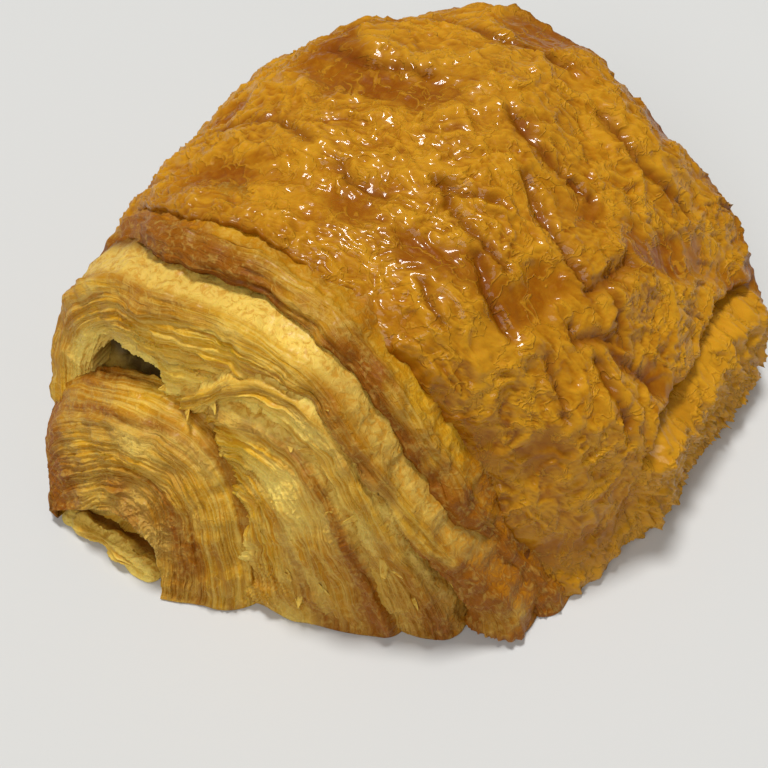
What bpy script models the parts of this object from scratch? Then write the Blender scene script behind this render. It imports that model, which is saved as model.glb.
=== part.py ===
"""A chocolate croissant of the straight kind: layered dough rolled round two chocolate sticks.

X runs across the roll, Y along it and Z up.  The roll stands on its flat base at Z = 0, with the
origin under the middle of its box.  Both ends are cut, and there each inner turn of the dough
stands a little further out than the turn round it.  Lengths below are in millimetres.
"""
import math

import bmesh
import bpy
from mathutils import Vector

MM = 0.001

# The roll as a whole
CENTRE_X, CENTRE_Y = 1.945, 33.133      # the middle of the roll's box, in the outlines' own frame
RING_POINTS = 72                    # points round each turn of the dough
RIM_STEPS = 3                       # rings that round the rim of a cut end
MELT_VOXEL = 1.3                    # grid that melts the turns into one body
MELT_SMOOTHING = 3                  # passes that take the grid's steps out again
TRIANGLES_KEPT = 0.12               # share of the melted body's triangles that stays
ROOT = -3.0                         # the turns reach below the base, and are trimmed flat there

# The near cut end: y along the base, and y along the top edge, across the roll
NEAR_BASE = [(-40, -8), (-27, -11), (-17, -12.5), (-6, -12), (7, -9.5), (13, -7.5), (23, -3.5),
             (30, 0), (39, 3.5), (50, 10)]
NEAR_TOP = [(-42, 11), (-30, 5), (-20, 1), (-9, 0.5), (14, -1), (26, -1), (37, 2), (50, 8)]
# The far cut end, the same way
FAR_BASE = [(-34, 72), (-24, 78), (-14, 79.5), (0, 79), (10, 77), (20, 75), (30, 73), (38, 70), (47, 60)]
FAR_TOP = [(-36, 57), (-25, 66), (-12, 72), (0, 71), (10, 67.5), (20, 64.5), (33, 62), (47, 54)]
END_HEIGHT = 46.0                   # height at which the top edges are reached

# Outlines across the roll, seen from the near end: from the base up the left side, and over
OUTER_NEAR = [(-34, ROOT), (-37.5, 10), (-39.5, 24), (-34, 37), (-22.5, 45.5), (-9, 48.4), (2.5, 46.5),
              (9.5, 43), (15, 38.5), (20.4, 32), (26, 22.5), (31.5, 11), (36, 3), (35, ROOT)]
OUTER_MIDDLE = [(-37, ROOT), (-41.5, 8), (-42.5, 20), (-38.5, 33), (-27, 43.3), (-11, 48.8),
                (7, 48), (21, 42.5), (32, 33.5), (39.5, 22), (42, 9), (40, ROOT)]
OUTER_FAR = [(-24, ROOT), (-27.5, 8), (-28, 18), (-25, 28), (-17.5, 38), (-7, 43.5), (6, 43),
             (18, 39.5), (29, 34), (38, 25), (43.5, 13), (42.5, ROOT)]
SECOND = [(-31, ROOT), (-37, 8), (-39.8, 18), (-38.6, 28), (-30.5, 38.5), (-19, 43.2), (-7, 45),
          (3, 43.8), (10, 41), (16, 34), (22, 26), (28.7, 17), (34.5, 6), (33.5, ROOT)]
THIRD = [(-24, ROOT), (-29, 12), (-29, 24), (-22, 34), (-12, 38.5), (-2, 39.5), (5, 39),
         (10.5, 35), (15, 28), (20, 19), (25.6, 8), (28, ROOT)]
FOURTH = [(-22, ROOT), (-26, 10), (-24, 20), (-15, 28), (-8, 32.5), (1, 33), (7.5, 30), (12, 23),
          (16, 14), (20, 3), (20, ROOT)]
TONGUE = [(-34.5, 3.4), (-38, 7), (-38.5, 13), (-35, 19), (-28, 23.6), (-19, 26.2), (-12, 27.6),
          (-7.5, 26.5), (-4.5, 22), (-2.5, 14), (-1.5, 6), (-2, ROOT), (-22, ROOT), (-26, 3)]

# Inner turns: outline, step out of the near end, step out of the far end, rim radius
INNER_TURNS = [(SECOND, 2.6, 2.0, 2.4), (THIRD, 3.8, 3.4, 2.0), (FOURTH, 5.2, 4.8, 2.2),
               (TONGUE, 6.8, 6.2, 2.8)]
OUTER_RIM = 1.6
FAR_SCALE_X, FAR_SCALE_Z, FAR_SHIFT_X = 0.9, 0.87, 5.0      # the inner turns at the far end
STATIONS = (0.06, 0.14, 0.24, 0.35, 0.46, 0.54, 0.65, 0.76, 0.86, 0.94)
SWELL_SHARE = 0.42                  # share of the length over which a turn swells to its middle

# The chocolate sticks, and the tunnels that they lie in
STICK_WIDTH, STICK_HEIGHT, STICK_ROUNDING = 8.8, 4.0, 1.1
STICK_GAP = 0.4                     # free space below each stick
TUNNEL_WIDTH = 10.8
UPPER_TUNNEL_HEIGHT, LOWER_TUNNEL_HEIGHT = 5.8, 4.9
MOUTH_WIDTH, MOUTH_HEIGHT = 8.4, 3.0        # the lower tunnel narrows to a slit at both cut ends
# Each line: centre (x, z) at the stick's near and far ends, lean, and the stick's two ends in y
UPPER_LINE = ((-22.0, 28.8), (-15.5, 25.0), math.radians(16.0), (-2.0, 70.0))
LOWER_LINE = ((-16.5, 7.2), (-10.5, 6.8), 0.0, (-9.5, 75.0))
LOWER_CHAMBER = (-11.0, 76.5)               # the wide part of the lower tunnel, in y
THROUGH = (-40.0, 110.0)                    # runs out past both cut ends


def interpolate(table, x):
    """Read a table of (x, y) points at x, level beyond its ends."""
    if x <= table[0][0]:
        return table[0][1]
    for (x0, y0), (x1, y1) in zip(table, table[1:]):
        if x <= x1:
            return y0 + (y1 - y0) * (x - x0) / (x1 - x0)
    return table[-1][1]


def end_surface(base, top, x, z):
    """y of a cut end at (x, z): it leans in from its base line to its top edge."""
    share = z / END_HEIGHT
    return interpolate(base, x) * (1 - share) + interpolate(top, x) * share


def smooth_outline(points):
    """An evenly spaced closed curve through an outline's points."""
    dense = []
    for index in range(len(points)):
        before, start, end, after = (Vector(points[(index + step) % len(points)])
                                     for step in (-1, 0, 1, 2))
        for part in range(16):
            t = part / 16
            dense.append(0.5 * (2 * start + (end - before) * t
                                + (2 * before - 5 * start + 4 * end - after) * t * t
                                + (3 * start - before - 3 * end + after) * t ** 3))
    dense.append(dense[0])
    lengths = [0.0]
    for a, b in zip(dense, dense[1:]):
        lengths.append(lengths[-1] + (b - a).length)
    even = []
    place = 0
    for index in range(RING_POINTS):
        target = lengths[-1] * index / RING_POINTS
        while lengths[place + 1] < target:
            place += 1
        share = (target - lengths[place]) / (lengths[place + 1] - lengths[place])
        even.append(dense[place].lerp(dense[place + 1], share))
    return even


def inset(outline, distance):
    """The outline moved inward by a distance, along its own normals."""
    moved = []
    for index, point in enumerate(outline):
        along = outline[(index + 1) % len(outline)] - outline[index - 1]
        moved.append(point + Vector((along.y, -along.x)).normalized() * distance)
    return moved


def rim_rings(outline, base, top, step, radius, inward):
    """Rings that round the rim of a cut end, from its flat face out to the full outline."""
    rings = []
    for index in range(RIM_STEPS + 1):
        angle = 0.5 * math.pi * index / RIM_STEPS
        shrunk = inset(outline, radius * (1 - math.sin(angle)))
        depth = radius * (1 - math.cos(angle)) - step
        rings.append([Vector((p.x, end_surface(base, top, p.x, p.y) + inward * depth, p.y))
                      for p in shrunk])
    return rings


def swelling(share):
    """0 at a cut end, rising smoothly to 1 in the middle stretch."""
    nearest = min(share, 1 - share)
    return math.sin(0.5 * math.pi * min(nearest / SWELL_SHARE, 1.0))


def turn_rings(near, middle, far, near_step, far_step, radius):
    """All the rings of one turn of the dough, from the near end to the far end."""
    near_rim = rim_rings(near, NEAR_BASE, NEAR_TOP, near_step, radius, 1)
    far_rim = rim_rings(far, FAR_BASE, FAR_TOP, far_step, radius, -1)
    between = []
    for share in STATIONS:
        swell = swelling(share)
        ring = []
        for start, end, swollen in zip(near_rim[-1], far_rim[-1], middle):
            place = (start if share < 0.5 else end).lerp(Vector((swollen.x, 0, swollen.y)), swell)
            place.y = start.y + (end.y - start.y) * share
            ring.append(place)
        between.append(ring)
    return near_rim + between + far_rim[::-1]


def add_turn(mesh, rings):
    """Add one turn as a closed body: its rings joined by walls, and both ends filled."""
    loops = []
    for ring in rings:
        loops.append([mesh.verts.new(local(*place)) for place in ring])
    for ring, following in zip(loops, loops[1:]):
        for index in range(RING_POINTS):
            step = (index + 1) % RING_POINTS
            mesh.faces.new((ring[index], ring[step], following[step], following[index]))
    caps = [mesh.faces.new(reversed(loops[0])), mesh.faces.new(loops[-1])]
    bmesh.ops.triangulate(mesh, faces=caps)


def local(x, y, z):
    """A place in the outlines' frame, moved to the roll's own origin and into metres."""
    return ((x - CENTRE_X) * MM, (y - CENTRE_Y) * MM, z * MM)


def new_object(name, mesh):
    """Store a bmesh as a named object in the scene."""
    bmesh.ops.recalc_face_normals(mesh, faces=mesh.faces)
    data = bpy.data.meshes.new(name)
    mesh.to_mesh(data)
    mesh.free()
    piece = bpy.data.objects.new(name, data)
    bpy.context.scene.collection.objects.link(piece)
    return piece


def material(name, colour, roughness):
    """A plain finish."""
    finish = bpy.data.materials.new(name)
    finish.use_nodes = True
    shader = finish.node_tree.nodes["Principled BSDF"]
    shader.inputs["Base Color"].default_value = (*colour, 1.0)
    shader.inputs["Roughness"].default_value = roughness
    shader.inputs["Metallic"].default_value = 0.0
    return finish


def make_dough():
    """Every turn of the dough, melted into one body."""
    mesh = bmesh.new()
    outer = [smooth_outline(points) for points in (OUTER_NEAR, OUTER_MIDDLE, OUTER_FAR)]
    add_turn(mesh, turn_rings(*outer, 0.0, 0.0, OUTER_RIM))
    for points, near_step, far_step, radius in INNER_TURNS:
        near = smooth_outline(points)
        far = [Vector((p.x * FAR_SCALE_X + FAR_SHIFT_X, p.y * FAR_SCALE_Z)) for p in near]
        middle = [a.lerp(b, 0.5) for a, b in zip(near, far)]
        add_turn(mesh, turn_rings(near, middle, far, near_step, far_step, radius))
    dough = new_object("pastry", mesh)
    melt = dough.modifiers.new("melt", "REMESH")
    melt.mode = "VOXEL"
    melt.voxel_size = MELT_VOXEL * MM
    smooth = dough.modifiers.new("smooth", "SMOOTH")
    smooth.factor = 0.5
    smooth.iterations = MELT_SMOOTHING
    thin = dough.modifiers.new("thin", "DECIMATE")
    thin.ratio = TRIANGLES_KEPT
    return dough


def add_cut(piece, cutter):
    """Take a cutter's shape out of a piece; the cutter is no piece itself."""
    cutter.hide_render = True
    cutter.display_type = "WIRE"
    cut = piece.modifiers.new("cut_" + cutter.name, "BOOLEAN")
    cut.operation = "DIFFERENCE"
    cut.object = cutter


def make_base_cutter():
    """The block under the base that trims the roll flat at Z = 0."""
    mesh = bmesh.new()
    bmesh.ops.create_cube(mesh, size=0.2)
    cutter = new_object("base_cutter", mesh)
    cutter.location = (0.0, 0.0, -0.1)
    return cutter


def rounded_section(width, height, rounding):
    """Corner-rounded rectangle about the origin, as points in order round it."""
    section = []
    for corner in range(4):
        middle = math.radians(45 + 90 * corner)
        centre = Vector((math.copysign(width / 2 - rounding, math.cos(middle)),
                         math.copysign(height / 2 - rounding, math.sin(middle))))
        for turn in (-45, 0, 45):
            angle = middle + math.radians(turn)
            section.append(centre + rounding * Vector((math.cos(angle), math.sin(angle))))
    return section


def make_bar(name, line, ends, section, lift=0.0):
    """A bar of one section along a line, from y to y; lift raises it square to its lean."""
    near, far, lean, (start, finish) = line
    mesh = bmesh.new()
    loops = []
    for y in ends:
        share = (y - start) / (finish - start)
        centre = Vector(near) + (Vector(far) - Vector(near)) * share
        loop = []
        for point in section:
            across, up = point.x, point.y + lift
            x = centre.x + across * math.cos(lean) - up * math.sin(lean)
            z = centre.y + across * math.sin(lean) + up * math.cos(lean)
            loop.append(mesh.verts.new(local(x, y, z)))
        loops.append(loop)
    for index in range(len(section)):
        step = (index + 1) % len(section)
        mesh.faces.new((loops[0][index], loops[0][step], loops[1][step], loops[1][index]))
    mesh.faces.new(reversed(loops[0]))
    mesh.faces.new(loops[1])
    return new_object(name, mesh)


def make_sticks():
    """The two chocolate sticks."""
    section = rounded_section(STICK_WIDTH, STICK_HEIGHT, STICK_ROUNDING)
    return [make_bar("chocolate_stick_upper", UPPER_LINE, UPPER_LINE[-1], section),
            make_bar("chocolate_stick_lower", LOWER_LINE, LOWER_LINE[-1], section)]


def make_tunnel_cutters():
    """The ways through the dough in which the sticks lie."""
    upper = rounded_section(TUNNEL_WIDTH, UPPER_TUNNEL_HEIGHT, 2.6)
    lower = rounded_section(TUNNEL_WIDTH, LOWER_TUNNEL_HEIGHT, 1.9)
    mouth = rounded_section(MOUTH_WIDTH, MOUTH_HEIGHT, 1.2)
    upper_lift = (UPPER_TUNNEL_HEIGHT - STICK_HEIGHT) / 2 - STICK_GAP
    lower_lift = (LOWER_TUNNEL_HEIGHT - STICK_HEIGHT) / 2 - STICK_GAP
    return [make_bar("upper_tunnel", UPPER_LINE, THROUGH, upper, upper_lift),
            make_bar("lower_tunnel", LOWER_LINE, LOWER_CHAMBER, lower, lower_lift),
            make_bar("lower_mouths", LOWER_LINE, THROUGH, mouth, lower_lift)]


def main():
    for item in list(bpy.data.objects):
        bpy.data.objects.remove(item)
    dough = make_dough()
    dough.data.materials.append(material("baked_crust", (0.62, 0.30, 0.07), 0.35))
    chocolate = material("dark_chocolate", (0.045, 0.022, 0.014), 0.45)
    for stick in make_sticks():
        stick.data.materials.append(chocolate)
    for cutter in [make_base_cutter()] + make_tunnel_cutters():
        add_cut(dough, cutter)


main()
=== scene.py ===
"""Looks of a chocolate croissant: a flattened roll of flaky dough with a glazed dome on top.

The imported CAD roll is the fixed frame.  Round it this file makes the crumb, the glazed crust, the
turns of dough that show at the cut ends, loose flakes and the two chocolate sticks, and then the
floor, the lights and the camera.  Lengths in the property groups are in metres, as in the frame;
the shaping functions work in millimetres.
"""
import itertools
import math
from dataclasses import dataclass

import bpy
import numpy as np
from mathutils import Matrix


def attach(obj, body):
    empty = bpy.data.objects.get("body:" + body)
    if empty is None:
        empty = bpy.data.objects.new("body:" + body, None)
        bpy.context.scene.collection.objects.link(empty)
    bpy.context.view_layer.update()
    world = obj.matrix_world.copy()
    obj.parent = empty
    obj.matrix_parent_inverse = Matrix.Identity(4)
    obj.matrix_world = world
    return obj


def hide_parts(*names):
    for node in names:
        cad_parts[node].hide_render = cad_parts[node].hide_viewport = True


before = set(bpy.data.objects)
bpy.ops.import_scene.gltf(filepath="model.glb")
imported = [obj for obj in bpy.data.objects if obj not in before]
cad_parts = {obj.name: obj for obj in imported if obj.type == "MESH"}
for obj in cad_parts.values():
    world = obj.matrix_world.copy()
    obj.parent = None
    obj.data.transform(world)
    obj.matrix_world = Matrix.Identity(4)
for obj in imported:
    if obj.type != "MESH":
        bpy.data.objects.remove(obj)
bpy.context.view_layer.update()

bl_info = {
    "name": "Chocolate croissant",
    "version": (1, 0, 0),
    "blender": (4, 5, 0),
    "location": "3D View > Sidebar > Croissant",
    "description": "Models and finishes a chocolate croissant round its packed frame",
    "category": "Object",
}

MM = 0.001
MERGE = 1e-6                                # vertices nearer than this are one, in metres
CENTRE = np.array((1.945, 33.133, 0.0))     # the roll's middle, in the outlines' own frame
FLOOR_GAP = 0.12                            # the dough's lowest points, above the floor

# The cut ends: y along the base and along the top edge, across the roll
NEAR_BASE = [(-40, -8), (-27, -11), (-17, -12.5), (-6, -12), (7, -9.5), (13, -7.5), (23, -3.5),
             (30, 0), (39, 3.5), (50, 10)]
NEAR_TOP = [(-42, 11), (-30, 5), (-20, 1), (-9, 0.5), (14, -1), (26, -1), (37, 2), (50, 8)]
FAR_BASE = [(-34, 72), (-24, 78), (-14, 79.5), (0, 79), (10, 77), (20, 75), (30, 73), (38, 70), (47, 60)]
FAR_TOP = [(-36, 57), (-25, 66), (-12, 72), (0, 71), (10, 67.5), (20, 64.5), (33, 62), (47, 54)]
END_HEIGHT = 46.0

# Outlines across the roll, from the base up the left side, over the top and down the right side
ROOT = -3.0
OUTER_NEAR = [(-34, ROOT), (-37.5, 10), (-39.5, 24), (-34, 37), (-22.5, 45.5), (-9, 48.4), (2.5, 46.5),
              (9.5, 43), (15, 38.5), (20.4, 32), (26, 22.5), (32.2, 11), (38, 2.5), (39, ROOT)]
OUTER_MIDDLE = [(-37, ROOT), (-41.5, 8), (-42.5, 20), (-38.5, 33), (-27, 43.3), (-11, 48.8),
                (7, 48), (21, 42.5), (32, 33.5), (39.5, 22), (42, 9), (40, ROOT)]
OUTER_FAR = [(-24, ROOT), (-27.5, 8), (-28, 18), (-25, 28), (-17.5, 38), (-7, 43.5), (6, 43),
             (18, 39.5), (29, 34), (38, 25), (43.5, 13), (42.5, ROOT)]
SECOND = [(-31, ROOT), (-37, 8), (-39.6, 18), (-38.2, 27.5), (-30, 37.6), (-18.5, 42.0), (-7, 43.6),
          (2.5, 42.2), (9, 39.4), (14.8, 32.8), (20.6, 25), (27.2, 16), (34.2, 5), (35.5, ROOT)]
SECOND_INSIDE = [(-24, ROOT), (-27, 6), (-30, 13), (-32.2, 18.5), (-31.8, 23.4), (-28.2, 27.6),
                 (-22.8, 29.6), (-18.4, 29.6), (-15.8, 27.2), (-14.6, 23), (-11.8, 22.5), (-8, 28.5),
                 (-3, 34), (2, 35.5), (8, 34), (13.5, 28.5), (19, 20.5), (24.5, 11.5), (27.5, 3), (27, ROOT)]
THIRD = [(-18, 20), (-17.2, 24.5), (-14.5, 28.6), (-10, 32.6), (-3, 38), (4, 38), (10, 34.5), (15, 27.5),
         (20, 18.5), (25.6, 8), (28, ROOT)]
THIRD_INSIDE = [(-14, 18), (-13, 22), (-11.5, 26), (-8, 30.5), (0, 31.5), (6.5, 29), (11.5, 22.5), (16, 13),
                (20, 3), (20, ROOT)]
FOURTH = [(-14, 22.5), (-12, 27), (-8, 31.5), (1, 32.3), (7.5, 29.5), (12, 23), (16, 14), (20, 3),
          (20, ROOT)]
FOURTH_INSIDE = [(-9, 23.5), (-8, 24.5), (-6, 24), (-4, 20), (-2.5, 13), (-1.5, 6), (-2, ROOT)]
# The tongue's top line, from its free tip on the left, over and down to the base, and its inside
TONGUE = [(-38.4, 10.5), (-37.4, 14), (-34.2, 18.2), (-28, 22.4), (-20, 26.4), (-13, 27.2), (-7.5, 25.6),
          (-3.5, 21.5), (-0.5, 14), (1.5, 6), (2, ROOT)]
TONGUE_INSIDE = [(-34.5, 2), (-32.5, 3), (-29.5, 5.2), (-26, 8), (-22, 10.6), (-18.5, 12), (-15.4, 12),
                 (-12.6, 9.4), (-11, 5.4), (-10.4, 2), (-10.3, ROOT)]
# The pale fold on the floor, under the tongue
BASE_FOLD = [(-33, ROOT), (-31.5, 0.9), (-28, 2.2), (-22.5, 3.0), (-17, 3.2), (-13.5, 1.8), (-13, ROOT)]
BASE_FOLD_INSIDE = [(-31, ROOT), (-29, 0.6), (-25, 1.0), (-22.5, 1.2), (-20, 1.0), (-18, 0.6), (-17.5, ROOT)]
# The inner turns at the far end: narrower, lower and further right
FAR_SCALE_X, FAR_SCALE_Z, FAR_SHIFT_X = 0.9, 0.87, 5.0
SWELL_SHARE = 0.42                          # share of the length over which the crust swells

# Long folds in the glazed skin, as (x, y) points seen from above, with depth and width
FOLDS = [([(-9, -11), (-6, -13), (-1, -13)], 0.8, 0.9),
         ([(3, -7), (7, -7), (11, -5)], 0.9, 0.8),
         ([(4, -7), (7, -10), (12, -12), (16, -13)], 0.8, 0.8),
         ([(5, 10), (9, 8), (14, 7), (20, 7)], 0.7, 0.9),
         ([(12, 2), (18, -3), (22, -5), (25, -6), (26, -3), (27, 3)], 1.3, 1.0),
         ([(13, -14), (16, -18), (20, -20)], 1.0, 1.0),
         ([(9, -23), (11, -25), (13, -26)], 0.7, 0.7),
         ([(28, -4), (29, -5), (31, -7)], 0.8, 0.8),
         ([(26, -12), (27, -13), (28, -11), (30, -8)], 1.0, 0.8),
         ([(30, -9), (32, -9), (36, -6)], 0.8, 0.9),
         ([(25, -18), (26, -19), (29, -21)], 0.7, 0.8),
         ([(30, -12), (32, -13), (35, -14)], 0.9, 0.9),
         ([(-24, 12), (-17, 10), (-8, 12)], 0.8, 1.0),
         ([(-30, -8), (-22, -6), (-15, -9)], 0.7, 0.9),
         ([(-14, 28), (-4, 25), (6, 27)], 0.8, 1.0),
         ([(14, 22), (22, 19), (30, 21)], 0.8, 1.0)]
# The seam low on the right flank, where the outer sheet ends: its height along y
SEAM = [(-14, 17.0), (-9, 21.5), (-3, 20.8), (3, 19.5), (8, 20.2), (14, 22.4), (20, 20.2), (27, 17.5)]


# ---------------------------------------------------------------- noise and curves

def gradient_noise(places, seed):
    """Smooth noise between about -1 and 1 at an array of places."""
    table = np.random.default_rng(seed).normal(size=(2048, 3))
    table /= np.linalg.norm(table, axis=1)[:, None]
    cell = np.floor(places).astype(np.int64)
    inside = places - cell
    fade = inside ** 3 * (inside * (inside * 6 - 15) + 10)
    total = np.zeros(places.shape[:-1])
    for corner in itertools.product((0, 1), repeat=3):
        spot = cell + corner
        key = (spot[..., 0] * 73856093) ^ (spot[..., 1] * 19349663) ^ (spot[..., 2] * 83492791)
        slope = (table[key % len(table)] * (inside - corner)).sum(-1)
        share = np.where(np.array(corner) == 1, fade, 1 - fade).prod(-1)
        total += slope * share
    return total * 1.6


def layered_noise(places, seed, octaves=3, gain=0.5):
    """Gradient noise with finer and fainter layers on top."""
    total, size, height = 0.0, 1.0, 1.0
    for octave in range(octaves):
        total = total + height * gradient_noise(places * size, seed + octave)
        size *= 2.03
        height *= gain
    return total


def ridged_noise(places, seed, octaves=2, gain=0.5):
    """Thin crests between 0 and about 1, as in crumpled skin."""
    total, size, height = 0.0, 1.0, 1.0
    for octave in range(octaves):
        crest = np.clip(1 - np.abs(gradient_noise(places * size, seed + octave)) * 2.2, 0, 1)
        total = total + height * crest ** 2
        size *= 2.1
        height *= gain
    return total


def smoothstep(low, high, value):
    share = np.clip((value - low) / (high - low), 0, 1)
    return share * share * (3 - 2 * share)


def read_table(table, x):
    """A table of (x, y) points read at x, level beyond its ends."""
    points = np.array(table, float)
    return np.interp(x, points[:, 0], points[:, 1])


def end_surface(near, x, z):
    """y of a cut end at (x, z)."""
    base, top = (NEAR_BASE, NEAR_TOP) if near else (FAR_BASE, FAR_TOP)
    share = z / END_HEIGHT
    return read_table(base, x) * (1 - share) + read_table(top, x) * share


def arch(points, count):
    """Evenly spaced points on a smooth open curve, cut off where it meets the floor."""
    ends = np.array([points[0], *points, points[-1]], float)
    part = np.linspace(0, 1, 24, endpoint=False)[:, None]
    stretches = []
    for before, start, end, after in zip(ends, ends[1:], ends[2:], ends[3:]):
        stretches.append(0.5 * (2 * start + (end - before) * part
                                + (2 * before - 5 * start + 4 * end - after) * part ** 2
                                + (3 * start - before - 3 * end + after) * part ** 3))
    curve = np.concatenate(stretches + [ends[-1:]])
    curve = curve[curve[:, 1] >= FLOOR_GAP]
    length = steps_along(curve)
    even = np.linspace(0, length[-1], count)
    return np.stack([np.interp(even, length, curve[:, axis]) for axis in (0, 1)], 1)


def outward(curve):
    """Unit normals of an arch, pointing out of the roll."""
    along = np.gradient(curve, axis=0)
    along /= np.linalg.norm(along, axis=1)[:, None]
    return np.stack([-along[:, 1], along[:, 0]], 1)


def at_far_end(curve):
    """An inner turn's arch as it is at the far cut end."""
    return curve * (FAR_SCALE_X, FAR_SCALE_Z) + (FAR_SHIFT_X, 0)


def spots(*axes):
    """Places made from their x, y and z, which may be arrays or numbers."""
    return np.stack(np.broadcast_arrays(*axes), -1)


def steps_along(curve):
    """Length along a curve at each of its points."""
    return np.concatenate([[0], np.cumsum(np.hypot(*np.diff(curve, axis=0).T))])


def distance_to_path(places, path):
    """Distance from places to a path of (x, y) points, as seen from above."""
    nearest = np.full(places.shape[:-1], 1e9)
    flat = places[..., :2]
    for a, b in zip(np.array(path[:-1], float), np.array(path[1:], float)):
        share = np.clip(((flat - a) @ (b - a)) / ((b - a) @ (b - a)), 0, 1)
        nearest = np.minimum(nearest, np.linalg.norm(flat - a - share[..., None] * (b - a), axis=-1))
    return nearest


# ---------------------------------------------------------------- making meshes

def deselect_all():
    bpy.ops.object.select_all(action="DESELECT")


def make_active(piece):
    deselect_all()
    piece.select_set(True)
    bpy.context.view_layer.objects.active = piece


def in_edit_mode(piece, *steps):
    """Run edit-mode steps on all of a piece."""
    make_active(piece)
    bpy.ops.object.mode_set(mode="EDIT")
    bpy.ops.mesh.select_all(action="SELECT")
    for step in steps:
        step()
    bpy.ops.object.mode_set(mode="OBJECT")


def grid_piece(name, places):
    """A grid of columns and rows laid on an array of places, in millimetres."""
    columns, rows = places.shape[:2]
    deselect_all()
    bpy.ops.mesh.primitive_grid_add(x_subdivisions=columns - 1, y_subdivisions=rows - 1, size=2)
    piece = bpy.context.object
    piece.name = piece.data.name = name
    flat = np.empty(len(piece.data.vertices) * 3)
    piece.data.vertices.foreach_get("co", flat)
    flat = flat.reshape(-1, 3)
    column = np.rint((flat[:, 0] + 1) / 2 * (columns - 1)).astype(int)
    row = np.rint((flat[:, 1] + 1) / 2 * (rows - 1)).astype(int)
    piece.data.vertices.foreach_set("co", (places[column, row] * MM).ravel())
    return piece, column, row


def close_up(piece):
    """Merge a piece's doubled seam, close its open ends and turn its faces outward."""
    in_edit_mode(piece, lambda: bpy.ops.mesh.remove_doubles(threshold=MERGE),
                 lambda: bpy.ops.mesh.fill_holes(sides=0),
                 lambda: bpy.ops.mesh.normals_make_consistent(inside=False))


def cad_copy(node, name):
    """A merged copy of one of the frame's nodes."""
    make_active(node)
    bpy.ops.object.duplicate()
    piece = bpy.context.object
    piece.name = piece.data.name = name
    piece.parent = None
    in_edit_mode(piece, lambda: bpy.ops.mesh.remove_doubles(threshold=MERGE))
    return piece


def store(piece, name, values):
    """Store one number for each vertex, for the materials to read."""
    layer = piece.data.attributes.new(name, "FLOAT", "POINT")
    layer.data.foreach_set("value", np.ascontiguousarray(values, dtype=np.float32).ravel())


def apply_modifier(piece, kind, **settings):
    """Add a modifier, set it up and apply it."""
    make_active(piece)
    modifier = piece.modifiers.new(kind.lower(), kind)
    for key, value in settings.items():
        setattr(modifier, key, value)
    bpy.ops.object.modifier_apply(modifier=modifier.name)


def join(name, pieces):
    """Join pieces into one."""
    make_active(pieces[0])
    for piece in pieces:
        piece.select_set(True)
    bpy.ops.object.join()
    pieces[0].name = pieces[0].data.name = name
    return pieces[0]


def vertex_places(piece):
    """The places of a piece's vertices, in millimetres."""
    flat = np.empty(len(piece.data.vertices) * 3)
    piece.data.vertices.foreach_get("co", flat)
    return flat.reshape(-1, 3) / MM


def move_vertices(piece, places):
    piece.data.vertices.foreach_set("co", (places * MM).ravel())
    piece.data.update()


def vertex_normals(piece):
    flat = np.empty(len(piece.data.vertices) * 3)
    piece.data.vertex_normals.foreach_get("vector", flat)
    return flat.reshape(-1, 3)


def finish_piece(piece, finish):
    """Give a piece its material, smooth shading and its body."""
    piece.data.materials.clear()
    piece.data.materials.append(finish)
    make_active(piece)
    bpy.ops.object.shade_smooth()
    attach(piece, "root")


# ---------------------------------------------------------------- the crumb

MOUTH_MIDDLE = (-24.0, 2.0, 26.0)
MOUTH_WIDE, MOUTH_HIGH, MOUTH_DEEP, MOUTH_TILT = 8.4, 6.2, 26.0, 0.05   # half width and half height
INSET_SHARES = np.array((1 / 43, 1 / 50, 1 / 48))   # one over the roll's half width, half length and height
PINCH = 6.0                                 # the crumb's right flank, in from the near lip
TUNNEL_MIDDLE, TUNNEL_REACH = -20.0, 13.0   # where the crumb gets painted shade inside, across the roll


def cut_mouth(piece):
    """Widen the upper hollow at the near end into a flat lens over the tongue."""
    deselect_all()
    bpy.ops.mesh.primitive_cylinder_add(vertices=48, radius=MM, depth=MOUTH_DEEP * MM)
    cutter = bpy.context.object
    places = vertex_places(cutter)
    wide, high = places[:, 0] * MOUTH_WIDE, places[:, 1] * MOUTH_HIGH
    move_vertices(cutter, np.stack([wide, places[:, 2], high + MOUTH_TILT * wide], 1) + MOUTH_MIDDLE - CENTRE)
    in_edit_mode(cutter, lambda: bpy.ops.mesh.normals_make_consistent(inside=False))
    apply_modifier(piece, "BOOLEAN", object=cutter, operation="DIFFERENCE", solver="EXACT")
    bpy.data.objects.remove(cutter)


def depth_inside(places, near):
    """How far places lie in from a cut end."""
    own = places + CENTRE
    side = 1 if near else -1
    return side * (own[:, 1] - end_surface(near, own[:, 0], own[:, 2]))


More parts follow.
